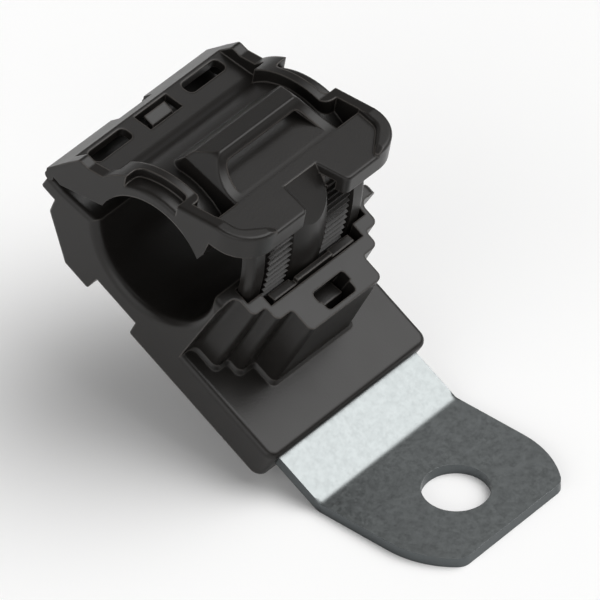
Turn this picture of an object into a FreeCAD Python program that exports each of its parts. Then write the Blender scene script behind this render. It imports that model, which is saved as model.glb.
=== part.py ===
"""Ratchet P clamp: a bent steel fixing plate, a moulded lower jaw and a hinged upper jaw.

Frame: millimetres, +Z up. The origin is the centre of the bolt hole on the underside of
the plate, X runs along the bundle, and the plate slopes up towards +Y behind its bend.

Three local frames carry the geometry:
  plate frame   the frame of the part
  clamp frame   x along the bundle, u up the slope from the bend, n square to the slope
  lid frame     origin on the hinge axis, a from the hinge towards the bolt, b square to the
                tray of the upper jaw; it is the clamp frame pitched by the jaw's angle
"""
import FreeCAD, Part
import math
import os
from FreeCAD import Placement, Rotation, Vector

# Modelling allowances: how far a cutter stands out, how deep joined bodies meet, equality
OVERCUT = 1.0
OVERLAP = 0.5
NEAR = 1e-4

# Fixing plate: galvanised strip
PLATE_WIDTH = 27.0
PLATE_THICKNESS = 1.5
PLATE_BEND_ANGLE = 30.0
PLATE_BEND_RADIUS = 1.0
BOLT_HOLE_DIAMETER = 9.0
HOLE_TO_BEND = 11.3
HOLE_TO_END = 9.5
PLATE_CORNER_RADIUS = 2.0
PLATE_REACH = 20.3
ANCHOR_LENGTH = 5.0
ANCHOR_WIDTH = 4.0
ANCHOR_SPACING = 15.0

# Lower jaw: slab round the strip, cradle and hinge ear
JAW_WIDTH = 31.1
SLAB_TOP = 1.4
SLAB_BOTTOM = -3.6
SLAB_FRONT = 7.7
SLAB_EDGE_RADIUS = 0.8
SLAB_CORNER_RADIUS = 1.6
BORE_RADIUS = 9.65
BORE_CENTRE_U = 36.4
BORE_CENTRE_LEVEL = 11.5
CRADLE_FRONT = 25.6
CRADLE_FLOOR = -1.2
RECESS_START = 32.6
RECESS_END = 40.5
HEEL_U = 44.8
HEEL_DEPTH = -4.0
EAR_BACK_U = 50.6
EAR_BACK_LEVEL = 1.1
EAR_LIP_U = 51.0
EAR_LIP_LEVEL = 3.5
EAR_TOP_LEVEL = 5.8
EAR_INNER_LEVEL = 6.9
BORE_RIM_RADIUS = 1.3
FOOT_RADIUS = 0.4
RECESS_DRAFT = 0.2
EAR_EDGE_RADIUS = 0.8
WALL_CORNER_RADIUS = 1.5

# Hinge: a bead on the upper jaw rocks on the ear and a horn passes through its window
HINGE_U = 53.5
HINGE_LEVEL = 6.1
BEAD_RADIUS = 0.7
BEAD_CLEARANCE = 0.15
HORN_INNER_RADIUS = 5.2
HORN_OUTER_RADIUS = 6.2
HORN_WIDTH = 3.9
HORN_TOP = 5.15
HORN_BACK = 1.9
HORN_LOW_ANGLE = -20.0
HORN_HIGH_ANGLE = 85.0
JAW_PITCH = 20.0

# Tower of the lower jaw: ratchet housing
TOWER_TOP = 14.4
TOWER_FRONT = 15.5
TOWER_DRAFT = 0.75
LOBE_WIDTHS = (15.4, 21.1, 25.8)
LOBE_ENDS = (19.2, 21.5, 25.6)
LOBE_RADIUS = 0.9
LOBE_HOLLOW_RADIUS = 0.5
LOBE_FLARE = 1.1
TOWER_FOOT = 0.4
WINDOW_WIDTH = 5.4
WINDOW_START = 17.0
WINDOW_END = 20.1
WINDOW_CORNER_RADIUS = 0.6
WINDOW_SIDE_NOTCH = 0.35
WINDOW_DEPTH = 4.8
SLOT_CLEARANCE = 0.25
SLOT_MOUTH = 22.0
SLOT_MOUTH_WIDTH = 18.0
SLOT_MOUTH_DEPTH = 2.4
SLOT_LOW_ANGLE = -60.0
SLOT_HIGH_ANGLE = 20.0
PAWL_THICKNESS = 0.75
PAWL_CLEARANCE = 0.2
PAWL_SIDE_CLEARANCE = 0.35
PAWL_TEETH = 3
PAWL_TOOTH_SHARE = 0.85
PAWL_TOP = 13.6
PAWL_CREST = 14.2
TAB_THICKNESS = 1.6
TAB_ROOT_LEVEL = 11.2
TAB_TIP_LEVEL = 12.1
TAB_TIP_GAP = 1.2
TAB_ROOM_FLOOR = 6.6
CAVITY_FRONT = 20.7
CAVITY_FLOOR = 2.6
CAVITY_TOP = 13.0

# Upper jaw: barrel over the bundle, tray, hood and strap
LID_BORE_RADIUS = 9.0
LID_BORE_A = 17.3
LID_BORE_B = -1.5
LID_BORE_BACK_B = 1.45
BARREL_RADIUS = 10.2
WALL_CROWN_RADIUS = 12.0
WALL_STEP_A = 9.5
WALL_STEP_END = 21.3
WALL_STEP_RADIUS = 1.4
WALL_STEP_THICKNESS = 3.55
LEDGE_RADIUS = 10.6
LEDGE_WIDTH = 2.35
LEDGE_START = 11.6
LEDGE_END = 20.0
LEDGE_CORNER_RADIUS = 0.9
LEDGE_EDGE_RADIUS = 0.6
FLANGE_TOP = 4.2
FLANGE_THICKNESS = 1.3
FLANGE_BACK = 2.3
FLANGE_UNDER_START = 3.0
FLANGE_UNDER_END = 7.4
LIP_A = -0.55
LIP_TOP = 1.0
LIP_BOTTOM = 0.3
LIP_NOTCH_WIDTH = 6.4
LIP_NOTCH_DEPTH = 1.2
HINGE_WINDOW_WIDTH = 6.2
HINGE_WINDOW_START = 2.8
HINGE_WINDOW_END = 5.7
FLANGE_SLOT_LENGTH = 7.1
FLANGE_SLOT_WIDTH = 2.2
FLANGE_SLOT_RADIUS = 0.85
FLANGE_SLOT_SPACING = 18.1
FLANGE_SLOT_A = 4.0
WALL_THICKNESS = 1.6
CHEEK_CREST = 2.0
CHEEK_CREST_START = 4.2
CHEEK_CREST_END = 5.7
CHEEK_SADDLE = 0.4
CHEEK_CREST_RADIUS = 0.6
CHEEK_HEEL_A = 1.9
CHEEK_HEEL_B = -0.2
VALLEY_RADIUS = 2.5
NOSE_A = 24.7
NOSE_B = 4.6
NOSE_TIP = 0.6
NOSE_WIDTH = 0.5
NOSE_RISE = 0.8
SKIRT_START = 25.7
SKIRT_BOTTOM = 7.9
TRAY_BACK = 25.0
TRAY_FRONT = 31.9
TRAY_FLOOR = 10.6
TRAY_THICKNESS = 1.3
TRAY_CORNER_RADIUS = 5.0
RIM_HEIGHT = 0.8
RIM_START = 26.4
RIM_MOUTH_INSET = 1.35
RIM_END_RUN = 2.2
RIM_RADIUS = 0.45
NOTCH_WIDTH = 6.0
NOTCH_DEPTH = 4.8
NOTCH_FLARE = 0.9
NOTCH_SLOPE_RUN = 2.3
NOTCH_SLOPE_DROP = 3.6
NOTCH_ROOT_RADIUS = 0.3
NOTCH_CORNER_RADIUS = 0.9
TRAY_EDGE_RADIUS = 0.35
HOOD_BACK = 13.0
HOOD_BACK_WIDTH = 18.0
HOOD_RIDGE_A = 16.3
HOOD_RIDGE_B = 12.4
HOOD_BAR_A = 19.4
HOOD_BAR_B = 13.8
HOOD_RIM_A = 21.2
HOOD_RIM_B = 11.75
HOOD_FOOT_A = 25.3
HOOD_TOP_WIDTH = 15.0
HOOD_FOOT_WIDTH = 19.4
HOOD_BASE_WIDTH = 20.0
HOOD_WALL = 1.3
HOOD_ROUND = 2.0
HOOD_EDGE_RADIUS = 0.35
HOOD_BACK_RADIUS = 2.5
HOOD_ROOM_A = 20.9
HOOD_ROOM_RISE = 1.6

# Strap: an arc about the hinge axis with two toothed tracks
STRAP_BASE_RADIUS = 29.9
STRAP_THICKNESS = 1.3
STRAP_TOOTH_HEIGHT = 0.45
STRAP_WIDTH = 22.5
STRAP_EDGE_RADIUS = 1.0
STRAP_TIP_ANGLE = -20.0
STRAP_ROOT_ANGLE = 18.5
TRACK_INNER = 3.4
TRACK_OUTER = 7.75
TOOTH_PITCH_ANGLE = 1.9
TOOTH_SHARE = 0.8
TOOTH_START_ANGLE = -19.0
TOOTH_END_ANGLE = 15.5
RIB_RISE = 1.3
RIB_SIDE_DRAFT = 0.2
RAIL_RISE = 0.3
GROOVE_WIDTH = 0.5
GROOVE_DEPTH = 0.4


def sin(angle):
    return math.sin(math.radians(angle))


def cos(angle):
    return math.cos(math.radians(angle))


class Arc:
    """An arc step of an outline: through one point to its end."""

    def __init__(self, through, end):
        self.through = through
        self.end = end


def softened(corners):
    """Outline steps through corners: (p, q), or (p, q, radius) where it is rounded, or an Arc."""
    def spot(item):
        return Vector(*(item.end if isinstance(item, Arc) else item[:2]), 0)

    steps = []
    for index, item in enumerate(corners):
        if isinstance(item, Arc) or len(item) == 2:
            steps.append(item)
            continue
        corner = spot(item)
        radius = item[2]
        following = corners[(index + 1) % len(corners)]
        back = (spot(corners[index - 1]) - corner).normalize()
        ahead = (spot(following) - corner).normalize()
        half_angle = back.getAngle(ahead) / 2
        inward = (back + ahead).normalize()
        reach = radius / math.tan(half_angle)
        start = corner + back * reach
        through = corner + inward * (radius / math.sin(half_angle) - radius)
        end = corner + ahead * reach
        steps.append((start.x, start.y))
        steps.append(Arc((through.x, through.y), (end.x, end.y)))
    return steps


def outline_wire(steps, place):
    """Closed wire through the steps; each is a point, or an Arc from the point before it."""
    edges = []
    here = place(*steps[0])
    start = here
    for step in steps[1:]:
        if isinstance(step, Arc):
            end = place(*step.end)
            edges.append(Part.Arc(here, place(*step.through), end).toShape())
        else:
            end = place(*step)
            edges.append(Part.LineSegment(here, end).toShape())
        here = end
    if here.distanceToPoint(start) > 1e-6:
        edges.append(Part.LineSegment(here, start).toShape())
    return Part.Wire(edges)


def prism_x(steps, half_width, start=None, sign=1):
    """Extrude a (u, n) outline along x, over both halves or from start to half_width."""
    low = -half_width if start is None else start
    face = Part.Face(outline_wire(steps, lambda u, n: Vector(low, sign * u, n)))
    return face.extrude(Vector(half_width - low, 0, 0))


def lid_prism(steps, half_width, start=None):
    """Extrude an (a, b) outline of the lid frame along x; a points to -y."""
    return prism_x(steps, half_width, start, sign=-1)


def both_sides(solid):
    """The solid and its mirror image across x = 0."""
    return [solid, solid.mirror(Vector(0, 0, 0), Vector(1, 0, 0))]


def box(x0, x1, y0, y1, z0, z1):
    return Part.makeBox(x1 - x0, y1 - y0, z1 - z0, Vector(x0, y0, z0))


def lid_box(x0, x1, a0, a1, b0, b1):
    return box(x0, x1, -a1, -a0, b0, b1)


def edges_where(solid, test):
    """The edges whose ends and middle all pass a test of a point."""
    found = []
    for edge in solid.Edges:
        middle = edge.valueAt((edge.FirstParameter + edge.LastParameter) / 2)
        if all(test(point) for point in [middle] + [vertex.Point for vertex in edge.Vertexes]):
            found.append(edge)
    return found


def near(value, target):
    return abs(value - target) < NEAR


def upright(edge):
    """Whether an edge is straight and runs along z."""
    ends = [vertex.Point for vertex in edge.Vertexes]
    return len(ends) == 2 and near(ends[0].x, ends[1].x) and near(ends[0].y, ends[1].y)


def on_circle(centre, radius, angle, forward=1):
    """Point of a circle in an (u, n) or (a, b) plane, the angle from the first axis."""
    return (centre[0] + forward * radius * cos(angle), centre[1] + radius * sin(angle))


def tube_sector(inner, outer, half_width, low, high):
    """Lid frame: ring sector about the hinge axis between two angles."""
    middle = (low + high) / 2
    centre = (0.0, 0.0)
    return lid_prism([
        on_circle(centre, inner, low),
        on_circle(centre, outer, low),
        Arc(on_circle(centre, outer, middle), on_circle(centre, outer, high)),
        on_circle(centre, inner, high),
        Arc(on_circle(centre, inner, middle), on_circle(centre, inner, low)),
    ], half_width)


def clamp_placement():
    """Clamp frame to part frame."""
    return Placement(Vector(0, HOLE_TO_BEND, PLATE_THICKNESS),
                     Rotation(Vector(1, 0, 0), PLATE_BEND_ANGLE))


def lid_placement(pitch):
    """Lid frame to clamp frame at a pitch of the upper jaw."""
    return Placement(Vector(0, HINGE_U, HINGE_LEVEL), Rotation(Vector(1, 0, 0), -pitch))


def placed(shape, *placements):
    """The shape moved by each placement in turn."""
    moved = shape.copy()
    for placement in placements:
        moved.Placement = placement.multiply(moved.Placement)
    return moved


def fixing_plate():
    """Strip with a rounded end and bolt hole, bent up, with two anchor windows."""
    half = PLATE_WIDTH / 2
    inner = PLATE_BEND_RADIUS
    outer = inner + PLATE_THICKNESS
    run_in = inner * math.tan(math.radians(PLATE_BEND_ANGLE / 2))
    bend_y = HOLE_TO_BEND - run_in
    centre = (bend_y, PLATE_THICKNESS + inner)

    def turn(radius, angle):
        return (centre[0] + radius * sin(angle), centre[1] - radius * cos(angle))

    def slope(u, n):
        return (HOLE_TO_BEND + u * cos(PLATE_BEND_ANGLE) - n * sin(PLATE_BEND_ANGLE),
                PLATE_THICKNESS + u * sin(PLATE_BEND_ANGLE) + n * cos(PLATE_BEND_ANGLE))

    strip = prism_x([
        (-HOLE_TO_END, 0.0),
        turn(outer, 0.0),
        Arc(turn(outer, PLATE_BEND_ANGLE / 2), turn(outer, PLATE_BEND_ANGLE)),
        slope(PLATE_REACH, -PLATE_THICKNESS),
        slope(PLATE_REACH, 0.0),
        turn(inner, PLATE_BEND_ANGLE),
        Arc(turn(inner, PLATE_BEND_ANGLE / 2), turn(inner, 0.0)),
        (-HOLE_TO_END, PLATE_THICKNESS),
    ], half)

    chord = math.sqrt(half ** 2 - HOLE_TO_END ** 2)
    far = PLATE_REACH + HOLE_TO_BEND
    quarter = math.degrees(math.asin(HOLE_TO_END / half)) / 2
    blank_face = Part.Face(outline_wire([
        (half, 0.0),
        (half, far),
        (-half, far),
        (-half, 0.0),
        Arc((-half * cos(quarter), -half * sin(quarter)), (-chord, -HOLE_TO_END)),
        (chord, -HOLE_TO_END),
        Arc((half * cos(quarter), -half * sin(quarter)), (half, 0.0)),
    ], lambda x, y: Vector(x, y, -OVERCUT)))
    blank = blank_face.extrude(Vector(0, 0, PLATE_REACH))
    end_corners = [edge for edge in edges_where(blank, lambda p: near(p.y, -HOLE_TO_END))
                   if upright(edge)]
    blank = blank.makeFillet(PLATE_CORNER_RADIUS, end_corners)

    hole = Part.makeCylinder(BOLT_HOLE_DIAMETER / 2, 3 * PLATE_THICKNESS, Vector(0, 0, -PLATE_THICKNESS))
    anchors = [placed(anchor_window(side), clamp_placement()) for side in (-1, 1)]
    return strip.common(blank).cut([hole] + anchors)


def anchor_window(side):
    """Clamp frame: the moulding material that fills one window of the strip."""
    x = side * ANCHOR_SPACING / 2
    return box(x - ANCHOR_WIDTH / 2, x + ANCHOR_WIDTH / 2,
               PLATE_REACH - 2 * ANCHOR_LENGTH, PLATE_REACH - ANCHOR_LENGTH,
               -PLATE_THICKNESS, 0.0)


def strip_pocket():
    """Clamp frame: room for the strip in the slab, less what fills its windows."""
    half = PLATE_WIDTH / 2
    pocket = box(-half, half, 0.0, PLATE_REACH, -PLATE_THICKNESS, 0.0)
    return pocket.cut([anchor_window(side) for side in (-1, 1)])


def slab():
    """Rounded slab over-moulded on the strip."""
    half = JAW_WIDTH / 2
    block = box(-half, half, SLAB_FRONT, CRADLE_FRONT + OVERLAP, SLAB_BOTTOM, SLAB_TOP)
    corners = [edge for edge in edges_where(block, lambda p: near(p.y, SLAB_FRONT)) if upright(edge)]
    block = block.makeFillet(SLAB_CORNER_RADIUS, corners)
    top_edges = [edge for edge in edges_where(block, lambda p: near(p.z, SLAB_TOP))
                 if min(vertex.Y for vertex in edge.Vertexes) < CRADLE_FRONT]
    return block.makeFillet(SLAB_EDGE_RADIUS, top_edges)


def bore_point(angle):
    return on_circle((BORE_CENTRE_U, BORE_CENTRE_LEVEL), BORE_RADIUS, angle)


def bore_rim(side):
    """Clamp frame: what the rounded rim takes off the cradle at one mouth of its bore."""
    half = JAW_WIDTH / 2
    face = Part.Face(outline_wire([
        (half + OVERCUT, BORE_RADIUS - OVERCUT),
        (half + OVERCUT, BORE_RADIUS + BORE_RIM_RADIUS),
        (half, BORE_RADIUS + BORE_RIM_RADIUS),
        Arc((half - BORE_RIM_RADIUS * (1 - cos(45)), BORE_RADIUS + BORE_RIM_RADIUS * (1 - cos(45))),
            (half - BORE_RIM_RADIUS, BORE_RADIUS)),
        (half - BORE_RIM_RADIUS, BORE_RADIUS - OVERCUT),
    ], lambda x, r: Vector(side * x, BORE_CENTRE_U, BORE_CENTRE_LEVEL + r)))
    return face.revolve(Vector(0, BORE_CENTRE_U, BORE_CENTRE_LEVEL), Vector(1, 0, 0), 360)


def cradle():
    """Jaw section: foot, heel, hinge ear and the wall in front of the bundle."""
    half = JAW_WIDTH / 2
    ear_angle = math.degrees(math.asin((EAR_INNER_LEVEL - BORE_CENTRE_LEVEL) / BORE_RADIUS))
    wall_angle = 180 - math.degrees(math.asin((TOWER_TOP - BORE_CENTRE_LEVEL) / BORE_RADIUS))
    ear_inner = bore_point(ear_angle)
    wall_inner = bore_point(wall_angle)
    body = prism_x(softened([
        (CRADLE_FRONT, SLAB_BOTTOM),
        (RECESS_START, SLAB_BOTTOM, FOOT_RADIUS),
        (RECESS_START + RECESS_DRAFT, CRADLE_FLOOR),
        (RECESS_END - RECESS_DRAFT, CRADLE_FLOOR),
        (RECESS_END, HEEL_DEPTH, FOOT_RADIUS),
        (HEEL_U, HEEL_DEPTH, FOOT_RADIUS),
        (EAR_BACK_U, EAR_BACK_LEVEL, 2 * FOOT_RADIUS),
        (EAR_LIP_U, EAR_LIP_LEVEL),
        (HINGE_U, EAR_LIP_LEVEL, FOOT_RADIUS),
        (HINGE_U, EAR_TOP_LEVEL),
        (EAR_LIP_U, EAR_TOP_LEVEL),
        ear_inner,
        Arc(bore_point(-90), wall_inner),
        (CRADLE_FRONT, TOWER_TOP),
    ]), half)
    ear_edges = edges_where(body, lambda p: near(abs(p.x), half) and p.y > ear_inner[0] - NEAR
                            and p.z > EAR_TOP_LEVEL - NEAR)
    body = body.makeFillet(EAR_EDGE_RADIUS, ear_edges)
    wall_edges = edges_where(body, lambda p: near(abs(p.x), half) and near(p.z, TOWER_TOP))
    body = body.makeFillet(WALL_CORNER_RADIUS, wall_edges)
    seat = Part.makeCylinder(BEAD_RADIUS + BEAD_CLEARANCE, JAW_WIDTH, Vector(-half, HINGE_U, HINGE_LEVEL),
                             Vector(1, 0, 0))
    return body.cut([seat, bore_rim(-1), bore_rim(1)])


def tower_wire(level, spread=0.0):
    """Outline of the tower at a level: three drafted lobes, then a flare into the wall."""
    share = (level - SLAB_TOP) / (TOWER_TOP - SLAB_TOP)
    inset = TOWER_DRAFT * share - spread
    here = TOWER_FRONT + inset
    right = []
    for width, end in zip(LOBE_WIDTHS, LOBE_ENDS):
        x = width / 2 - inset
        right.append((x, here, LOBE_RADIUS))
        here = end + inset
        right.append((x, here, LOBE_HOLLOW_RADIUS))
    flare = LOBE_WIDTHS[-1] / 2 + LOBE_FLARE
    right = right[:-1]
    right.append((LOBE_WIDTHS[-1] / 2 - inset, CRADLE_FRONT, LOBE_FLARE))
    right.append((flare + LOBE_RADIUS, CRADLE_FRONT))
    right.append((flare, CRADLE_FRONT + OVERLAP))
    left = []
    for item in reversed(right):
        left.append((-item[0],) + item[1:])
    return outline_wire(softened(right + left), lambda x, u: Vector(x, u, level))


def tower():
    """Corrugated ratchet housing with drafted walls."""
    return Part.makeLoft([tower_wire(SLAB_TOP - OVERLAP), tower_wire(TOWER_TOP)], True, True)


def tower_foot():
    """Sloping band where the tower's walls stand on the slab."""
    sunk = OVERLAP / 2
    return Part.makeLoft([tower_wire(SLAB_TOP - sunk, spread=TOWER_FOOT + sunk),
                          tower_wire(SLAB_TOP + TOWER_FOOT)], True, True)


def in_clamp(shape):
    return placed(shape, lid_placement(JAW_PITCH))


def strap_slot():
    """Clamp frame: curved slot for the strap, right through the slab."""
    outer = STRAP_BASE_RADIUS + STRAP_TOOTH_HEIGHT + SLOT_CLEARANCE
    half = STRAP_WIDTH / 2 + SLOT_CLEARANCE
    inner = STRAP_BASE_RADIUS - STRAP_THICKNESS
    slot = tube_sector(inner - SLOT_CLEARANCE, outer, half, SLOT_LOW_ANGLE, SLOT_HIGH_ANGLE)
    rib = tube_sector(inner, STRAP_BASE_RADIUS + RIB_RISE + SLOT_CLEARANCE,
                      TRACK_INNER + SLOT_CLEARANCE, SLOT_LOW_ANGLE, SLOT_HIGH_ANGLE)
    return in_clamp(slot.fuse(rib))


def ratchet_cavity():
    """Clamp frame: room for the pawl behind the front wall, open to the slot and the top."""
    reach = HINGE_U - STRAP_BASE_RADIUS
    mouth = box(-SLOT_MOUTH_WIDTH / 2, SLOT_MOUTH_WIDTH / 2, SLOT_MOUTH, reach + 2 * OVERCUT,
                TOWER_TOP - SLOT_MOUTH_DEPTH, TOWER_TOP + OVERCUT)
    side = TRACK_OUTER + PAWL_SIDE_CLEARANCE
    well = box(-side, side, CAVITY_FRONT, reach + OVERCUT, CAVITY_FLOOR, CAVITY_TOP)
    half = WINDOW_WIDTH / 2
    middle = (WINDOW_START + WINDOW_END) / 2
    face = Part.Face(outline_wire(mirrored([
        (half, WINDOW_START, WINDOW_CORNER_RADIUS),
        (half, middle),
        (half + WINDOW_SIDE_NOTCH, middle),
        (half + WINDOW_SIDE_NOTCH, WINDOW_END, WINDOW_CORNER_RADIUS),
    ]), lambda x, u: Vector(x, u, TOWER_TOP - WINDOW_DEPTH)))
    window = face.extrude(Vector(0, 0, WINDOW_DEPTH + OVERCUT))
    tab_room = box(-half, half, WINDOW_START, SLOT_MOUTH, TAB_ROOM_FLOOR, CAVITY_TOP)
    return [mouth, well, window, tab_room]


def pawl():
    """Clamp frame: sprung tongue with two toothed heads facing the strap, and a release tab."""
    tip_radius = STRAP_BASE_RADIUS + STRAP_TOOTH_HEIGHT + PAWL_CLEARANCE
    pitch = TOOTH_PITCH_ANGLE
    top_angle = math.degrees(math.asin((PAWL_TOP - HINGE_LEVEL) / tip_radius)) - JAW_PITCH
    centre = (0.0, 0.0)
    tongue_radius = STRAP_BASE_RADIUS + RIB_RISE + SLOT_CLEARANCE
    back_radius = tongue_radius + PAWL_THICKNESS
    root_radius = (tongue_radius + back_radius) / 2
    steps = [on_circle(centre, root_radius, top_angle)]
    for index in range(PAWL_TEETH):
        high = top_angle - index * pitch
        steps.append(on_circle(centre, tip_radius + STRAP_TOOTH_HEIGHT, high))
        steps.append(on_circle(centre, tip_radius, high - PAWL_TOOTH_SHARE * pitch))
    low = top_angle - PAWL_TEETH * pitch
    steps.append(on_circle(centre, tip_radius + STRAP_TOOTH_HEIGHT, low))
    steps.append(on_circle(centre, root_radius, low))
    head = lid_prism(steps, TRACK_OUTER, start=TRACK_INNER + PAWL_SIDE_CLEARANCE)
    heads = both_sides(in_clamp(head))
    bottom = math.degrees(math.asin((CAVITY_FLOOR - OVERLAP - HINGE_LEVEL) / back_radius)) - JAW_PITCH
    crest = math.degrees(math.asin((PAWL_CREST - HINGE_LEVEL) / tip_radius)) - JAW_PITCH
    tongue = in_clamp(tube_sector(tongue_radius, back_radius, TRACK_OUTER, bottom, top_angle))
    spine = in_clamp(tube_sector(tongue_radius, back_radius, TRACK_INNER, bottom, crest))
    tab_root = HINGE_U - tongue_radius
    tab = prism_x([
        (tab_root, TAB_ROOT_LEVEL - TAB_THICKNESS),
        (tab_root, TAB_ROOT_LEVEL),
        (WINDOW_START + TAB_TIP_GAP, TAB_TIP_LEVEL),
        (WINDOW_START + TAB_TIP_GAP / 2, TAB_TIP_LEVEL - TAB_THICKNESS),
    ], WINDOW_WIDTH / 2 - PAWL_SIDE_CLEARANCE)
    return tongue.fuse(heads + [spine, tab])


def horn():
    """Curved hook about the hinge axis that holds the upper jaw's flange."""
    centre = (HINGE_U, HINGE_LEVEL)
    low = HORN_LOW_ANGLE
    high = HORN_HIGH_ANGLE
    middle = (low + high) / 2
    ring = prism_x([
        on_circle(centre, HORN_INNER_RADIUS, low, forward=-1),
        on_circle(centre, HORN_OUTER_RADIUS, low, forward=-1),
        Arc(on_circle(centre, HORN_OUTER_RADIUS, middle, forward=-1),
            on_circle(centre, HORN_OUTER_RADIUS, high, forward=-1)),
        on_circle(centre, HORN_INNER_RADIUS, high, forward=-1),
        Arc(on_circle(centre, HORN_INNER_RADIUS, middle, forward=-1),
            on_circle(centre, HORN_INNER_RADIUS, low, forward=-1)),
    ], HORN_WIDTH / 2)
    keep = box(-HORN_WIDTH, HORN_WIDTH, HINGE_U - 2 * HORN_OUTER_RADIUS, HINGE_U - HORN_BACK,
               HINGE_LEVEL - HORN_OUTER_RADIUS, HINGE_LEVEL + HORN_TOP)
    return ring.common(keep)


def lower_jaw():
    """Moulded body: slab, cradle, tower, horn and pawl in one piece."""
    body = cradle().fuse([slab(), tower(), tower_foot()])
    body = body.cut([strap_slot()] + ratchet_cavity() + [strip_pocket()])
    return body.fuse([pawl(), horn()]).removeSplitter()


def lid_bore(angle, radius):
    return on_circle((LID_BORE_A, LID_BORE_B), radius, angle)


def circle_angle(radius, level):
    """Angle of the bore circle's front point at a level b."""
    return math.degrees(math.asin((level - LID_BORE_B) / radius))


def crown_point(a, radius):
    """Point on top of a circle about the bore's axis, at a distance a from the hinge."""
    return (a, LID_BORE_B + math.sqrt(radius ** 2 - (LID_BORE_A - a) ** 2))


def under_side():
    """Steps of the jaw's lower outline: hinge lip, bore and nose."""
    start = 180 - circle_angle(LID_BORE_RADIUS, LID_BORE_BACK_B)
    nose = circle_angle(LID_BORE_RADIUS, NOSE_B - NOSE_TIP)
    return [
        lid_bore(start, LID_BORE_RADIUS),
        Arc(lid_bore(90, LID_BORE_RADIUS), lid_bore(nose, LID_BORE_RADIUS)),
        (NOSE_A, NOSE_B),
        (NOSE_A + NOSE_WIDTH, NOSE_B + NOSE_RISE),
        (SKIRT_START, SKIRT_BOTTOM),
    ]


def cheek():
    """Side outline of the outer wall, from the hinge lip to the front of the tray."""
    crest = FLANGE_TOP + CHEEK_CREST
    crown_low = 180 - circle_angle(WALL_CROWN_RADIUS, crest)
    rim_top = TRAY_FLOOR + RIM_HEIGHT
    return softened([
        (LIP_A, LIP_TOP),
        (LIP_A, LIP_BOTTOM),
        (LIP_A + LIP_NOTCH_DEPTH, LIP_BOTTOM),
        (CHEEK_HEEL_A, CHEEK_HEEL_B),
    ] + under_side() + [
        (TRAY_FRONT, SKIRT_BOTTOM),
        (TRAY_FRONT, rim_top),
        (RIM_START, rim_top),
        crown_point(LEDGE_END, WALL_CROWN_RADIUS),
        Arc(crown_point(LID_BORE_A, WALL_CROWN_RADIUS), lid_bore(crown_low, WALL_CROWN_RADIUS)),
        (CHEEK_CREST_END, crest - CHEEK_SADDLE, CHEEK_CREST_RADIUS),
        (CHEEK_CREST_START, crest, CHEEK_CREST_RADIUS),
        (FLANGE_BACK, FLANGE_TOP),
    ])


def middle():
    """Side outline between the cheeks: lip, flange, barrel, and wall under the tray's back edge."""
    valley_b = FLANGE_TOP + VALLEY_RADIUS
    reach = BARREL_RADIUS + VALLEY_RADIUS
    valley_a = LID_BORE_A - math.sqrt(reach ** 2 - (valley_b - LID_BORE_B) ** 2)
    towards = math.degrees(math.atan2(LID_BORE_B - valley_b, LID_BORE_A - valley_a))
    valley = (valley_a, valley_b)
    front = circle_angle(BARREL_RADIUS, NOSE_B + NOSE_RISE)
    flange_bottom = FLANGE_TOP - FLANGE_THICKNESS
    wall_top = TRAY_FLOOR - TRAY_THICKNESS / 2
    return [
        (LIP_A, LIP_TOP),
        (LIP_A, LIP_BOTTOM),
        (LIP_A + LIP_NOTCH_DEPTH, LIP_BOTTOM),
        (FLANGE_UNDER_START, flange_bottom),
        (FLANGE_UNDER_END, flange_bottom),
    ] + under_side() + [
        (SKIRT_START, wall_top),
        (TRAY_BACK, wall_top),
        lid_bore(front, BARREL_RADIUS),
        Arc(lid_bore(90, BARREL_RADIUS), on_circle(valley, VALLEY_RADIUS, towards)),
        Arc(on_circle(valley, VALLEY_RADIUS, (towards - 90) / 2), (valley_a, FLANGE_TOP)),
        (FLANGE_BACK, FLANGE_TOP),
    ]


def plan_prism(steps, low, high):
    """Extrude an (x, a) outline between two levels of the lid frame."""
    face = Part.Face(outline_wire(steps, lambda x, a: Vector(x, -a, low)))
    return face.extrude(Vector(0, 0, high - low))


def mirrored(corners):
    """An outline through corners at positive x, closed by their mirror images."""
    left = []
    for item in reversed(corners):
        left.append((-item[0],) + item[1:])
    return softened(corners + left)


def jaw_plan(inset, back):
    """Plan of the jaw with rounded front corners, inset from its outline."""
    half = JAW_WIDTH / 2 - inset
    return mirrored([
        (half, back),
        (half, TRAY_FRONT - inset, TRAY_CORNER_RADIUS - inset),
    ])


def rim_mouth():
    """Half width of the rim's mouth, which starts a little inside the rounded corners."""
    return JAW_WIDTH / 2 - TRAY_CORNER_RADIUS - RIM_MOUTH_INSET


def tray_hollow():
    """Room above the tray's floor: it narrows past the front corners and is open in front."""
    inner = JAW_WIDTH / 2 - WALL_THICKNESS
    mouth = rim_mouth()
    return plan_prism(mirrored([
        (inner, TRAY_BACK - TRAY_THICKNESS),
        (inner - 0.3 * WALL_THICKNESS, TRAY_FRONT - 0.7 * TRAY_CORNER_RADIUS, 0.4 * TRAY_CORNER_RADIUS),
        (mouth + WALL_THICKNESS / 2, TRAY_FRONT - 0.2 * TRAY_CORNER_RADIUS, 0.3 * TRAY_CORNER_RADIUS),
        (mouth - WALL_THICKNESS / 2, TRAY_FRONT + 0.2 * TRAY_CORNER_RADIUS),
    ]), TRAY_FLOOR, TRAY_FLOOR + JAW_WIDTH)


def front_uprights(body, low, high):
    """Upright edges of the tray's front face whose distance from the middle is in a range."""
    edges = edges_where(body, lambda p: near(-p.y, TRAY_FRONT) and low < abs(p.x) < high)
    return [edge for edge in edges if upright(edge)]


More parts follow.
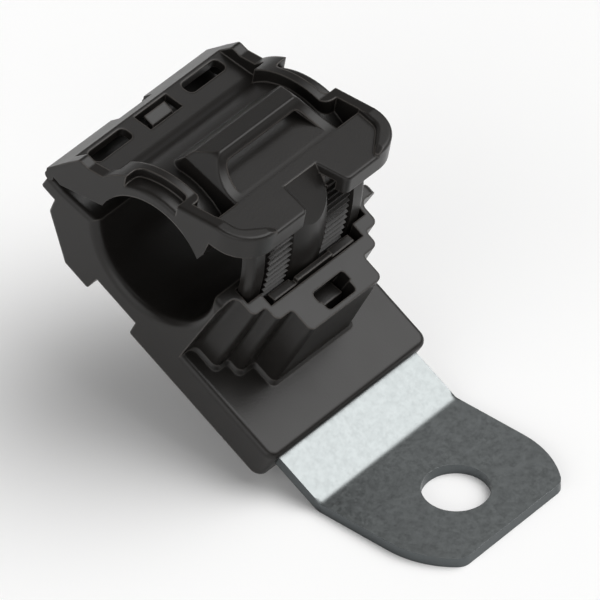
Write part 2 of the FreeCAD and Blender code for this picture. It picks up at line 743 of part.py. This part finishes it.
def deck():
    """Cheeks, tray, rim and skirt: one wall round the jaw and the tray's floor."""
    half = JAW_WIDTH / 2
    inner = half - WALL_THICKNESS
    step = half - WALL_STEP_THICKNESS
    outline = plan_prism(jaw_plan(0.0, LIP_A - OVERCUT), -JAW_WIDTH, JAW_WIDTH)
    between_cheeks = plan_prism(mirrored([
        (inner, LIP_A - OVERCUT),
        (inner, WALL_STEP_A),
        (step, WALL_STEP_A),
        (step, WALL_STEP_END, WALL_STEP_RADIUS),
        (inner, WALL_STEP_END),
        (inner, TRAY_BACK),
    ]), -JAW_WIDTH, JAW_WIDTH)
    under = plan_prism(jaw_plan(WALL_THICKNESS, TRAY_BACK - TRAY_THICKNESS), -JAW_WIDTH,
                       TRAY_FLOOR - TRAY_THICKNESS)
    body = lid_prism(cheek(), half).common(outline)
    body = body.cut([between_cheeks, under, tray_hollow(), tray_notch()])
    rim_ends = front_uprights(body, NOTCH_WIDTH, half - TRAY_CORNER_RADIUS - RIM_RADIUS)
    body = body.makeFillet(RIM_RADIUS, rim_ends)
    return body.makeFillet(NOTCH_CORNER_RADIUS, front_uprights(body, 0.0, NOTCH_WIDTH))


def ledge_recess():
    """What leaves the ledge beside the barrel: rounded in plan, down to the ledge's radius."""
    half = JAW_WIDTH / 2
    outside = half + LEDGE_WIDTH
    core = Part.makeCylinder(LEDGE_RADIUS, JAW_WIDTH, Vector(-half, -LID_BORE_A, LID_BORE_B),
                             Vector(1, 0, 0))
    rims = [edge for edge in core.Edges if edge.Curve.TypeId == "Part::GeomCircle"]
    core = core.makeFillet(LEDGE_EDGE_RADIUS, rims)
    recesses = []
    for side in (-1, 1):
        plan = softened([
            (side * outside, LEDGE_START),
            (side * (half - LEDGE_WIDTH), LEDGE_START, LEDGE_CORNER_RADIUS),
            (side * (half - LEDGE_WIDTH), LEDGE_END, LEDGE_CORNER_RADIUS),
            (side * outside, LEDGE_END),
        ])
        recesses.append(plan_prism(plan, LID_BORE_B, LID_BORE_B + JAW_WIDTH).cut(core))
    return recesses


def hood_arch(wall, low, high):
    """Arch section of the hood along a, drafted from its feet to its rounded shoulders."""
    draft = (HOOD_FOOT_WIDTH - HOOD_TOP_WIDTH) / 2 / (HOOD_BAR_B - TRAY_FLOOR)
    top = HOOD_BAR_B - wall
    foot = LID_BORE_B
    top_x = HOOD_TOP_WIDTH / 2 + draft * wall - math.hypot(1.0, draft) * wall
    foot_x = top_x + draft * (top - foot)
    face = Part.Face(outline_wire(mirrored([
        (foot_x, foot),
        (top_x, top, HOOD_ROUND - wall / 2),
    ]), lambda x, b: Vector(x, -low, b)))
    return face.extrude(Vector(0, -(high - low), 0))


def hood():
    """Finger hood: arch on the barrel, with a hollow above the tray's level that opens towards it."""
    half = HOOD_FOOT_WIDTH / 2 + HOOD_WALL
    back = crown_point(HOOD_BACK, BARREL_RADIUS)
    inside = (LID_BORE_RADIUS + BARREL_RADIUS) / 2
    nose_top = NOSE_B + NOSE_RISE
    side = lid_prism([
        (back[0], back[1] - OVERLAP / 2),
        (HOOD_RIDGE_A, HOOD_RIDGE_B),
        (HOOD_BAR_A, HOOD_BAR_B),
        Arc((HOOD_RIM_A, HOOD_RIM_B), (HOOD_FOOT_A, TRAY_FLOOR)),
        (HOOD_FOOT_A, SKIRT_BOTTOM),
        (TRAY_BACK, nose_top),
        lid_bore(circle_angle(inside, nose_top), inside),
        Arc(crown_point(LID_BORE_A, inside), crown_point(HOOD_BACK, inside)),
    ], half)
    plan = plan_prism(mirrored([
        (HOOD_BASE_WIDTH / 2, HOOD_FOOT_A + OVERCUT),
        (HOOD_BACK_WIDTH / 2, HOOD_BACK, HOOD_BACK_RADIUS),
    ]), 0.0, HOOD_BAR_B + OVERCUT)
    outer = side.common(hood_arch(0.0, HOOD_BACK - OVERCUT, HOOD_FOOT_A + OVERCUT)).common(plan)
    front = edges_where(outer, lambda p: TRAY_FLOOR + HOOD_EDGE_RADIUS / 2 < p.z < HOOD_BAR_B + NEAR
                        and -p.y > HOOD_BAR_A - NEAR)
    outer = outer.makeFillet(HOOD_EDGE_RADIUS, front)
    room_top = HOOD_BAR_B - HOOD_WALL
    room_end = HOOD_FOOT_A + HOOD_WALL
    room = lid_prism([
        (HOOD_ROOM_A, TRAY_FLOOR),
        Arc((HOOD_ROOM_A - HOOD_ROOM_RISE, TRAY_FLOOR + 0.3 * HOOD_ROOM_RISE),
            (HOOD_ROOM_A - 1.5 * HOOD_ROOM_RISE, TRAY_FLOOR + HOOD_ROOM_RISE)),
        (HOOD_BAR_A, room_top),
        (room_end, room_top),
        (room_end, TRAY_FLOOR),
    ], HOOD_FOOT_WIDTH)
    return outer.cut(room.common(hood_arch(HOOD_WALL, HOOD_BACK, room_end)))


def strap():
    """Curved strap: section turned about the hinge axis, and its two toothed tracks."""
    half = STRAP_WIDTH / 2
    base = STRAP_BASE_RADIUS
    rail_start = TRACK_OUTER + GROOVE_WIDTH
    rib_side = TRACK_INNER - RIB_SIDE_DRAFT
    right = [
        (half, base - STRAP_THICKNESS),
        (half, base + RAIL_RISE, STRAP_EDGE_RADIUS),
        (rail_start + GROOVE_DEPTH, base + RAIL_RISE),
        (rail_start, base - GROOVE_DEPTH),
        (TRACK_OUTER, base - GROOVE_DEPTH),
        (TRACK_OUTER, base),
        (TRACK_INNER, base),
        (rib_side, base + STRAP_TOOTH_HEIGHT),
    ]
    left = []
    for item in reversed(right):
        left.append((-item[0],) + item[1:])
    crown = Arc((0.0, base + RIB_RISE), left[0])
    section = outline_wire(softened(right + [crown] + left[1:]), lambda x, r: Vector(x, -r, 0.0))
    face = Part.Face(section)
    face.rotate(Vector(0, 0, 0), Vector(1, 0, 0), -STRAP_TIP_ANGLE)
    body = face.revolve(Vector(0, 0, 0), Vector(-1, 0, 0), STRAP_ROOT_ANGLE - STRAP_TIP_ANGLE)
    return body.fuse(both_sides(tooth_track()))


def tooth_track():
    """One comb of ratchet teeth along the strap, between its inner and outer edges."""
    centre = (0.0, 0.0)
    valley = STRAP_BASE_RADIUS
    tip = valley + STRAP_TOOTH_HEIGHT
    root = valley - GROOVE_DEPTH / 2
    start = TOOTH_START_ANGLE
    count = int((TOOTH_END_ANGLE - start) / TOOTH_PITCH_ANGLE)
    end = start + count * TOOTH_PITCH_ANGLE
    steps = [on_circle(centre, root, start)]
    for index in range(count):
        angle = start + index * TOOTH_PITCH_ANGLE
        steps.append(on_circle(centre, valley, angle))
        steps.append(on_circle(centre, tip, angle + TOOTH_SHARE * TOOTH_PITCH_ANGLE))
    steps.append(on_circle(centre, valley, end))
    steps.append(on_circle(centre, root, end))
    steps.append(Arc(on_circle(centre, root, (start + end) / 2), on_circle(centre, root, start)))
    return lid_prism(steps, TRACK_OUTER, start=TRACK_INNER)


def flange_openings():
    """Window for the horn, notch in the lip and its bead, and two rounded slots."""
    low = LIP_TOP - OVERLAP
    high = FLANGE_TOP + OVERCUT
    window = lid_box(-HINGE_WINDOW_WIDTH / 2, HINGE_WINDOW_WIDTH / 2,
                     HINGE_WINDOW_START, HINGE_WINDOW_END, low, high)
    notch = lid_box(-LIP_NOTCH_WIDTH / 2, LIP_NOTCH_WIDTH / 2, LIP_A - OVERCUT,
                    LIP_A + LIP_NOTCH_DEPTH, -BEAD_RADIUS - OVERCUT, high)
    half_length = FLANGE_SLOT_LENGTH / 2
    half_width = FLANGE_SLOT_WIDTH / 2
    slots = []
    for side in (-1, 1):
        x = side * FLANGE_SLOT_SPACING / 2
        slot = lid_box(x - half_length, x + half_length, FLANGE_SLOT_A - half_width,
                       FLANGE_SLOT_A + half_width, low, high)
        slots.append(slot.makeFillet(FLANGE_SLOT_RADIUS, [edge for edge in slot.Edges if upright(edge)]))
    return [window, notch] + slots


def tray_notch():
    """Cut in the tray's front edge over the strap's rib, flared towards the front."""
    half = NOTCH_WIDTH / 2
    back = TRAY_FRONT - NOTCH_DEPTH
    return plan_prism(mirrored([
        (half, back, NOTCH_ROOT_RADIUS),
        (half + NOTCH_FLARE, TRAY_FRONT),
        (half + 2 * NOTCH_FLARE, TRAY_FRONT + NOTCH_DEPTH),
    ]), SKIRT_BOTTOM - OVERCUT, TRAY_FLOOR + RIM_HEIGHT + OVERCUT)


def notch_slope():
    """Sloping back wall of the notch, which runs down into the strap's rib."""
    half = NOTCH_WIDTH / 2
    back = TRAY_FRONT - NOTCH_DEPTH
    return lid_prism([
        (back - OVERLAP, TRAY_FLOOR - TRAY_THICKNESS),
        (back - OVERLAP, TRAY_FLOOR),
        (back, TRAY_FLOOR),
        (back + NOTCH_SLOPE_RUN, TRAY_FLOOR - NOTCH_SLOPE_DROP),
        (back + NOTCH_SLOPE_RUN / 2, TRAY_FLOOR - NOTCH_SLOPE_DROP),
    ], half)


def above_notch_slope():
    """What the notch's back wall, carried on, takes off the top of the rib."""
    half = TRACK_INNER
    back = TRAY_FRONT - NOTCH_DEPTH
    return lid_prism([
        (back, TRAY_FLOOR),
        (back + 2 * NOTCH_SLOPE_RUN, TRAY_FLOOR - 2 * NOTCH_SLOPE_DROP),
        (back + 2 * NOTCH_SLOPE_RUN + OVERCUT, TRAY_FLOOR),
    ], half)


def on_rim_top(point):
    """Whether a point lies on the top of the wall in front of the crown."""
    a, b = -point.y, point.z
    start_a, start_b = crown_point(LEDGE_END, WALL_CROWN_RADIUS)
    rim_top = TRAY_FLOOR + RIM_HEIGHT
    if a >= RIM_START - NEAR:
        return near(b, rim_top)
    share = (a - start_a) / (RIM_START - start_a)
    return share >= -NEAR and near(b, start_b + share * (rim_top - start_b))


def rounded_top(body):
    """Round the rim's outer top edge, and the tray floor's edges in front and in the notch."""
    half = JAW_WIDTH / 2
    outside = TRAY_FRONT - TRAY_CORNER_RADIUS
    notch_start = TRAY_FRONT - NOTCH_DEPTH + NOTCH_ROOT_RADIUS / 2

    def on_outline(point):
        corner = math.hypot(abs(point.x) - half + TRAY_CORNER_RADIUS, -point.y - outside)
        return (near(abs(point.x), half) and -point.y <= outside + NEAR
                or near(corner, TRAY_CORNER_RADIUS) and -point.y >= outside - NEAR
                or near(-point.y, TRAY_FRONT))

    def rim_end(edge):
        return edge.Curve.TypeId == "Part::GeomCircle" and near(edge.Curve.Radius, RIM_RADIUS)

    def floor_edge(point):
        in_notch = abs(point.x) < NOTCH_WIDTH and -point.y > notch_start
        return near(point.z, TRAY_FLOOR) and (near(-point.y, TRAY_FRONT) or in_notch)

    rim = edges_where(body, lambda p: on_rim_top(p) and on_outline(p))
    rim += [edge for edge in edges_where(body, on_rim_top) if rim_end(edge)]
    body = body.makeFillet(RIM_RADIUS, rim)
    return body.makeFillet(TRAY_EDGE_RADIUS, edges_where(body, floor_edge))


def above_rim_ends():
    """What lets the rim run out to the tray's floor at both ends of the mouth."""
    low = TRAY_FLOOR + NEAR
    high = TRAY_FLOOR + 2 * RIM_HEIGHT
    start = rim_mouth() - RIM_RADIUS
    end = start + RIM_END_RUN * (high - low) / RIM_HEIGHT
    face = Part.Face(outline_wire([(start, low), (end, high), (start, high)],
                                  lambda x, b: Vector(x, -TRAY_FRONT - OVERCUT, b)))
    return both_sides(face.extrude(Vector(0, TRAY_CORNER_RADIUS, 0)))


def upper_jaw():
    """Hinged jaw in the lid frame: barrel, cheeks, tray, hood and strap in one piece."""
    half = JAW_WIDTH / 2
    barrel = lid_prism(middle(), half - WALL_THICKNESS / 2)
    bead = Part.makeCylinder(BEAD_RADIUS, JAW_WIDTH, Vector(-half, 0, 0), Vector(1, 0, 0))
    body = deck().fuse([barrel]).removeSplitter().cut(ledge_recess())
    body = rounded_top(body)
    body = body.fuse([bead]).cut(flange_openings() + [tray_notch()] + above_rim_ends())
    comb = strap().fuse([notch_slope()]).cut([above_notch_slope()])
    return body.fuse([comb, hood()]).removeSplitter()


def build():
    os.makedirs("parts", exist_ok=True)
    to_part = clamp_placement()
    nodes = {
        "fixing_plate": fixing_plate(),
        "lower_jaw": placed(lower_jaw(), to_part),
        "upper_jaw": placed(upper_jaw(), lid_placement(JAW_PITCH), to_part),
    }
    for name, shape in nodes.items():
        solids = shape.Solids
        print(name, "solids", len(solids), "valid", shape.isValid(), "volume", round(shape.Volume, 1))
        solid = solids[0] if len(solids) == 1 else shape
        solid.exportStep("parts/" + name + ".step")


build()
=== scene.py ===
"""Studio scene of a ratchet P clip: a black moulded clamp on a bent galvanised plate.

Lengths are in metres, in the frame of the part: the bolt hole is at the origin, X runs
along the bundle and +Y points from the bolt hole towards the hinge.
"""
import bpy
import math
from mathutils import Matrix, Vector

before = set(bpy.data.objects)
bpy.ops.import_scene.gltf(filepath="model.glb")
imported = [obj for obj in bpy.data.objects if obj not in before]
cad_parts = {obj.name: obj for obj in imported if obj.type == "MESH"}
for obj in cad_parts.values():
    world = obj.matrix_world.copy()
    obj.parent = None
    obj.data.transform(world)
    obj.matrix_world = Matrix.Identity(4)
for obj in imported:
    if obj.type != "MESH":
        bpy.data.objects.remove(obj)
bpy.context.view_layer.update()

MM = 0.001

# View of the photograph, read from the vanishing lines of the plate and the slab
VIEW_AZIMUTH = -49.62
VIEW_ELEVATION = 40.46
VIEW_DISTANCE = 1534 * MM
VIEW_TARGET = (0.0, 11.3 * MM, 1.5 * MM)
VIEW_SHIFT_RIGHT = -11.226 * MM
VIEW_SHIFT_UP = 19.112 * MM
LENS_PIXELS = 12030
FRAME_PIXELS = 600
SENSOR_WIDTH = 36.0
CLIP_NEAR = 0.1
CLIP_FAR = 20.0

# Floor
FLOOR_SIZE = 6.0
FLOOR_COLOUR = (0.93, 0.928, 0.925, 1.0)
FLOOR_ROUGHNESS = 0.9
FLOOR_SHINE = 0.1

# Lamps: name, azimuth and elevation in degrees, strength at the middle of the glow
LAMP_SPREAD = 42.0
LAMPS = (
    ("key high", 320.0, 65.0, 1.64),
    ("key low", 320.0, 50.0, 1.63),
    ("key right", 335.0, 50.0, 0.92),
    ("right behind", 45.0, 20.0, 0.24),
    ("behind", 90.0, 20.0, 0.31),
    ("left", 180.0, 20.0, 1.63),
    ("left front", 225.0, 20.0, 0.81),
)

# Moulded skin: pattern sizes are in cells per metre, edge limits are cosines
GRAIN_SIZE = 3800.0
GRAIN_HEIGHT = 0.012 * MM
CLOUD_SIZE = 260.0
EDGE_SAMPLES = 12
EDGE_LIMITS = (0.985, 0.86)

# Black nylon: the tones multiply its colour
PLASTIC_COLOUR = (0.0122, 0.0110, 0.0100)
PLASTIC_TONES = (0.86, 1.14)
# Painted highlight: over the edges the nylon colour is made this many times lighter
PLASTIC_EDGE_HIGHLIGHT = 6.0
PLASTIC_SHINE = 0.29
PLASTIC_ROUGHNESS = (0.27, 0.36)
PLASTIC_EDGE_RADIUS = 0.42 * MM
TOOTH_EDGE_RADIUS = 0.06 * MM
STRAP_TOP = 36.5 * MM
STRAP_FADE = 1.0 * MM

# Zinc: two noises are added, and their sum sets tone, roughness and relief
ZINC_COLOUR = (0.241, 0.257, 0.258)
ZINC_MOTTLE_SIZE = 2600.0
ZINC_PATCH_SIZE = 1100.0
ZINC_TONE_SPAN = (0.6, 1.4)
ZINC_TONES = (0.94, 1.03)
ZINC_ROUGH_SPAN = (0.7, 1.3)
ZINC_ROUGHNESS = (0.335, 0.435)
ZINC_RELIEF = 0.003 * MM
ZINC_GRAIN_HEIGHT = 0.002 * MM
ZINC_EDGE_RADIUS = 0.02 * MM
# Painted shade: on the upright faces the zinc colour is multiplied by this tone, faded in over
# the span of the normal's height
UPRIGHT_SHADE_TONE = (0.46, 0.47, 0.48, 1.0)
UPRIGHT_SHADE_SPAN = (0.45, 0.15)
BEND_LINE_Y = 11.3 * MM
BEND_SOFTNESS = 0.9 * MM


# Node helpers

def new_material(name):
    """An empty node material with its output and a Principled shader."""
    material = bpy.data.materials.new(name)
    material.use_nodes = True
    tree = material.node_tree
    tree.nodes.clear()
    output = tree.nodes.new("ShaderNodeOutputMaterial")
    shader = tree.nodes.new("ShaderNodeBsdfPrincipled")
    tree.links.new(shader.outputs["BSDF"], output.inputs["Surface"])
    return material, tree, shader


def add_node(tree, kind, **values):
    """A node of that kind, with its properties or input values set by name."""
    node = tree.nodes.new(kind)
    for name, value in values.items():
        if hasattr(node, name):
            setattr(node, name, value)
        else:
            node.inputs[name].default_value = value
    return node


def add_range(tree, value, span, result):
    """Carry a value from its span onto the result's span, held at both ends."""
    node = add_node(tree, "ShaderNodeMapRange", **{
        "From Min": span[0], "From Max": span[1], "To Min": result[0], "To Max": result[1]})
    tree.links.new(value, node.inputs["Value"])
    return node.outputs["Result"]


def new_group(name, inputs, outputs):
    """A shader node group with named float inputs, and float or vector outputs."""
    tree = bpy.data.node_groups.new(name, "ShaderNodeTree")
    for socket, default in inputs.items():
        made = tree.interface.new_socket(name=socket, in_out="INPUT",
                                         socket_type="NodeSocketFloat")
        made.default_value = default
    for socket, kind in outputs.items():
        tree.interface.new_socket(name=socket, in_out="OUTPUT", socket_type=kind)
    return tree, tree.nodes.new("NodeGroupInput"), tree.nodes.new("NodeGroupOutput")


def use_group(tree, group, **values):
    """The group placed in a material, with its own values."""
    node = tree.nodes.new("ShaderNodeGroup")
    node.node_tree = group
    for name, value in values.items():
        node.inputs[name].default_value = value
    return node


def scaled(colour, factor):
    """The colour times the factor, with an alpha of one."""
    return tuple(factor * part for part in colour) + (1.0,)


# Finishes

def moulded_skin_group():
    """Spark-eroded mould skin: a fine grain, a slow cloud and a rounded edge.

    Normal is the rounded-edge normal with the grain on top, Edge is 1 where the surface turns
    over an edge within the edge radius, and Cloud wanders slowly about 0.5.
    """
    tree, source, sink = new_group(
        "moulded skin",
        {"Grain Size": GRAIN_SIZE, "Grain Height": GRAIN_HEIGHT,
         "Edge Radius": PLASTIC_EDGE_RADIUS},
        {"Normal": "NodeSocketVector", "Edge": "NodeSocketFloat", "Cloud": "NodeSocketFloat"})
    link = tree.links.new
    place = add_node(tree, "ShaderNodeTexCoord")
    grain = add_node(tree, "ShaderNodeTexNoise", Detail=2.0, Roughness=0.6)
    cloud = add_node(tree, "ShaderNodeTexNoise", Scale=CLOUD_SIZE, Detail=3.0)
    rounded = add_node(tree, "ShaderNodeBevel", samples=EDGE_SAMPLES)
    bump = add_node(tree, "ShaderNodeBump", Strength=1.0)
    flat = add_node(tree, "ShaderNodeNewGeometry")
    agree = add_node(tree, "ShaderNodeVectorMath", operation="DOT_PRODUCT")
    link(place.outputs["Object"], grain.inputs["Vector"])
    link(place.outputs["Object"], cloud.inputs["Vector"])
    link(source.outputs["Grain Size"], grain.inputs["Scale"])
    link(source.outputs["Edge Radius"], rounded.inputs["Radius"])
    link(grain.outputs["Fac"], bump.inputs["Height"])
    link(source.outputs["Grain Height"], bump.inputs["Distance"])
    link(rounded.outputs["Normal"], bump.inputs["Normal"])
    link(rounded.outputs["Normal"], agree.inputs[0])
    link(flat.outputs["Normal"], agree.inputs[1])
    link(bump.outputs["Normal"], sink.inputs["Normal"])
    link(add_range(tree, agree.outputs["Value"], EDGE_LIMITS, (0.0, 1.0)), sink.inputs["Edge"])
    link(cloud.outputs["Fac"], sink.inputs["Cloud"])
    return tree


def plastic_material(name, skin, sharp_below=None):
    """Black moulded nylon: a satin skin with a painted highlight over its edges, where its
    colour is lightened.

    Below the height sharp_below, where the strap hangs, the edges are as crisp as its teeth.
    """
    material, tree, shader = new_material(name)
    link = tree.links.new
    group = use_group(tree, skin)
    if sharp_below is not None:
        place = add_node(tree, "ShaderNodeTexCoord")
        height = add_node(tree, "ShaderNodeSeparateXYZ")
        link(place.outputs["Object"], height.inputs["Vector"])
        link(add_range(tree, height.outputs["Z"], (sharp_below - STRAP_FADE, sharp_below),
                       (TOOTH_EDGE_RADIUS, PLASTIC_EDGE_RADIUS)), group.inputs["Edge Radius"])
    tone = add_node(tree, "ShaderNodeMix", data_type="RGBA")
    tone.inputs["A"].default_value = scaled(PLASTIC_COLOUR, PLASTIC_TONES[0])
    tone.inputs["B"].default_value = scaled(PLASTIC_COLOUR, PLASTIC_TONES[1])
    # Painted highlight: the colour is lightened over the edges, standing in for the light they
    # catch
    edge_highlight_paint = add_node(tree, "ShaderNodeMix", data_type="RGBA")
    edge_highlight_paint.inputs["B"].default_value = scaled(PLASTIC_COLOUR, PLASTIC_EDGE_HIGHLIGHT)
    link(group.outputs["Cloud"], tone.inputs["Factor"])
    link(group.outputs["Edge"], edge_highlight_paint.inputs["Factor"])
    link(tone.outputs["Result"], edge_highlight_paint.inputs["A"])
    link(edge_highlight_paint.outputs["Result"], shader.inputs["Base Color"])
    link(add_range(tree, group.outputs["Cloud"], (0.0, 1.0), PLASTIC_ROUGHNESS),
         shader.inputs["Roughness"])
    link(group.outputs["Normal"], shader.inputs["Normal"])
    shader.inputs["Specular IOR Level"].default_value = PLASTIC_SHINE
    return material


def bend_edge_radius(tree, place):
    """The edge radius: wide along the bend line and narrow away from it."""
    along = add_node(tree, "ShaderNodeSeparateXYZ")
    aside = add_node(tree, "ShaderNodeMath", operation="SUBTRACT")
    aside.inputs[1].default_value = BEND_LINE_Y
    away = add_node(tree, "ShaderNodeMath", operation="ABSOLUTE")
    tree.links.new(place, along.inputs["Vector"])
    tree.links.new(along.outputs["Y"], aside.inputs[0])
    tree.links.new(aside.outputs["Value"], away.inputs[0])
    return add_range(tree, away.outputs["Value"], (BEND_SOFTNESS / 2, BEND_SOFTNESS),
                     (BEND_SOFTNESS, ZINC_EDGE_RADIUS))


def upright_shade_mask(tree):
    """Mask of the painted shade: one on the upright faces that the shears left, nought on the
    rolled faces.
    """
    facing = add_node(tree, "ShaderNodeNewGeometry")
    level = add_node(tree, "ShaderNodeSeparateXYZ")
    steep = add_node(tree, "ShaderNodeMath", operation="ABSOLUTE")
    tree.links.new(facing.outputs["True Normal"], level.inputs["Vector"])
    tree.links.new(level.outputs["Z"], steep.inputs[0])
    return add_range(tree, steep.outputs["Value"], UPRIGHT_SHADE_SPAN, (0.0, 1.0))


def zinc_material(skin):
    """Hot-dip zinc: a fine mottle of tone, tilt and roughness, with painted shade darkening the
    upright sheared edges.

    The edge radius widens near the bend line, so the tone rolls over there as on pressed strip.
    """
    material, tree, shader = new_material("mottled zinc")
    link = tree.links.new
    place = add_node(tree, "ShaderNodeTexCoord").outputs["Object"]
    mottle = add_node(tree, "ShaderNodeTexNoise", Scale=ZINC_MOTTLE_SIZE, Detail=2.0)
    patch = add_node(tree, "ShaderNodeTexNoise", Scale=ZINC_PATCH_SIZE, Detail=1.0)
    both = add_node(tree, "ShaderNodeMath", operation="ADD")
    tint = add_node(tree, "ShaderNodeVectorMath", operation="SCALE")
    tint.inputs[0].default_value = ZINC_COLOUR
    # Painted shade: the colour is darkened on the upright faces, standing in for the shade on
    # them
    side_shade = add_node(tree, "ShaderNodeMix", data_type="RGBA", blend_type="MULTIPLY")
    side_shade.inputs["B"].default_value = UPRIGHT_SHADE_TONE
    group = use_group(tree, skin, **{"Grain Height": ZINC_GRAIN_HEIGHT})
    bump = add_node(tree, "ShaderNodeBump", Strength=1.0, Distance=ZINC_RELIEF)
    link(place, mottle.inputs["Vector"])
    link(place, patch.inputs["Vector"])
    link(mottle.outputs["Fac"], both.inputs[0])
    link(patch.outputs["Fac"], both.inputs[1])
    zinc = both.outputs["Value"]
    link(add_range(tree, zinc, ZINC_TONE_SPAN, ZINC_TONES), tint.inputs["Scale"])
    link(upright_shade_mask(tree), side_shade.inputs["Factor"])
    link(tint.outputs["Vector"], side_shade.inputs["A"])
    link(side_shade.outputs["Result"], shader.inputs["Base Color"])
    link(add_range(tree, zinc, ZINC_ROUGH_SPAN, ZINC_ROUGHNESS), shader.inputs["Roughness"])
    link(bend_edge_radius(tree, place), group.inputs["Edge Radius"])
    link(zinc, bump.inputs["Height"])
    link(group.outputs["Normal"], bump.inputs["Normal"])
    link(bump.outputs["Normal"], shader.inputs["Normal"])
    shader.inputs["Metallic"].default_value = 1.0
    return material


def floor_material():
    """Matt pale studio floor."""
    material, tree, shader = new_material("studio floor")
    shader.inputs["Base Color"].default_value = FLOOR_COLOUR
    shader.inputs["Roughness"].default_value = FLOOR_ROUGHNESS
    shader.inputs["Specular IOR Level"].default_value = FLOOR_SHINE
    return material


def dress(node, material):
    """Give a CAD node its finish."""
    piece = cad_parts[node]
    piece.data.materials.clear()
    piece.data.materials.append(material)


# Studio

def make_floor():
    """One wide square under the plate."""
    half = FLOOR_SIZE / 2
    corners = [(-half, -half, 0.0), (half, -half, 0.0), (half, half, 0.0), (-half, half, 0.0)]
    mesh = bpy.data.meshes.new("studio_floor")
    mesh.from_pydata(corners, [], [(0, 1, 2, 3)])
    mesh.materials.append(floor_material())
    floor = bpy.data.objects.new("studio_floor", mesh)
    bpy.context.scene.collection.objects.link(floor)


def direction(azimuth, elevation):
    """Unit vector towards an azimuth from +X and an elevation, both in degrees."""
    around, above = math.radians(azimuth), math.radians(elevation)
    return (math.cos(around) * math.cos(above), math.sin(around) * math.cos(above),
            math.sin(above))


def make_world():
    """Soft studio lamps on a dark sky, each a smooth round glow about its own direction.

    A glow is a smooth step of the cosine between the sky's direction and the lamp's, from
    nought at the lamp's spread to its strength at the middle. The sky is the sum of them.
    """
    world = bpy.data.worlds.new("studio lamps")
    world.use_nodes = True
    bpy.context.scene.world = world
    tree = world.node_tree
    link = tree.links.new
    background = tree.nodes["Background"]
    background.inputs["Color"].default_value = (1.0, 1.0, 1.0, 1.0)
    place = add_node(tree, "ShaderNodeTexCoord")
    total = None
    for _, azimuth, elevation, strength in LAMPS:
        facing = add_node(tree, "ShaderNodeVectorMath", operation="DOT_PRODUCT")
        facing.inputs[1].default_value = direction(azimuth, elevation)
        glow = add_node(tree, "ShaderNodeMapRange", interpolation_type="SMOOTHSTEP")
        glow.inputs["From Min"].default_value = math.cos(math.radians(LAMP_SPREAD))
        glow.inputs["To Max"].default_value = strength
        link(place.outputs["Generated"], facing.inputs[0])
        link(facing.outputs["Value"], glow.inputs["Value"])
        if total is None:
            total = glow.outputs["Result"]
            continue
        both = add_node(tree, "ShaderNodeMath", operation="ADD")
        link(total, both.inputs[0])
        link(glow.outputs["Result"], both.inputs[1])
        total = both.outputs["Value"]
    link(total, background.inputs["Strength"])


def make_camera():
    """Long lens along the photograph's line of sight."""
    back = Vector(direction(VIEW_AZIMUTH - 90.0, VIEW_ELEVATION))
    right = Vector(direction(VIEW_AZIMUTH, 0.0))
    up = back.cross(right)
    data = bpy.data.cameras.new("photo camera")
    data.sensor_width = SENSOR_WIDTH
    data.lens = SENSOR_WIDTH * LENS_PIXELS / FRAME_PIXELS
    data.clip_start = CLIP_NEAR
    data.clip_end = CLIP_FAR
    camera = bpy.data.objects.new("photo camera", data)
    camera.location = (Vector(VIEW_TARGET) + back * VIEW_DISTANCE + right * VIEW_SHIFT_RIGHT
                       + up * VIEW_SHIFT_UP)
    camera.rotation_mode = "QUATERNION"
    camera.rotation_quaternion = back.to_track_quat("Z", "Y")
    bpy.context.scene.collection.objects.link(camera)
    bpy.context.scene.camera = camera


def main():
    """Dress the three CAD nodes, and set the floor, the lamps and the camera."""
    skin = moulded_skin_group()
    dress("lower_jaw", plastic_material("black nylon", skin))
    dress("upper_jaw", plastic_material("black nylon with crisp teeth", skin, STRAP_TOP))
    dress("fixing_plate", zinc_material(skin))
    make_floor()
    make_world()
    make_camera()
    bpy.context.scene.view_settings.view_transform = "Standard"


main()
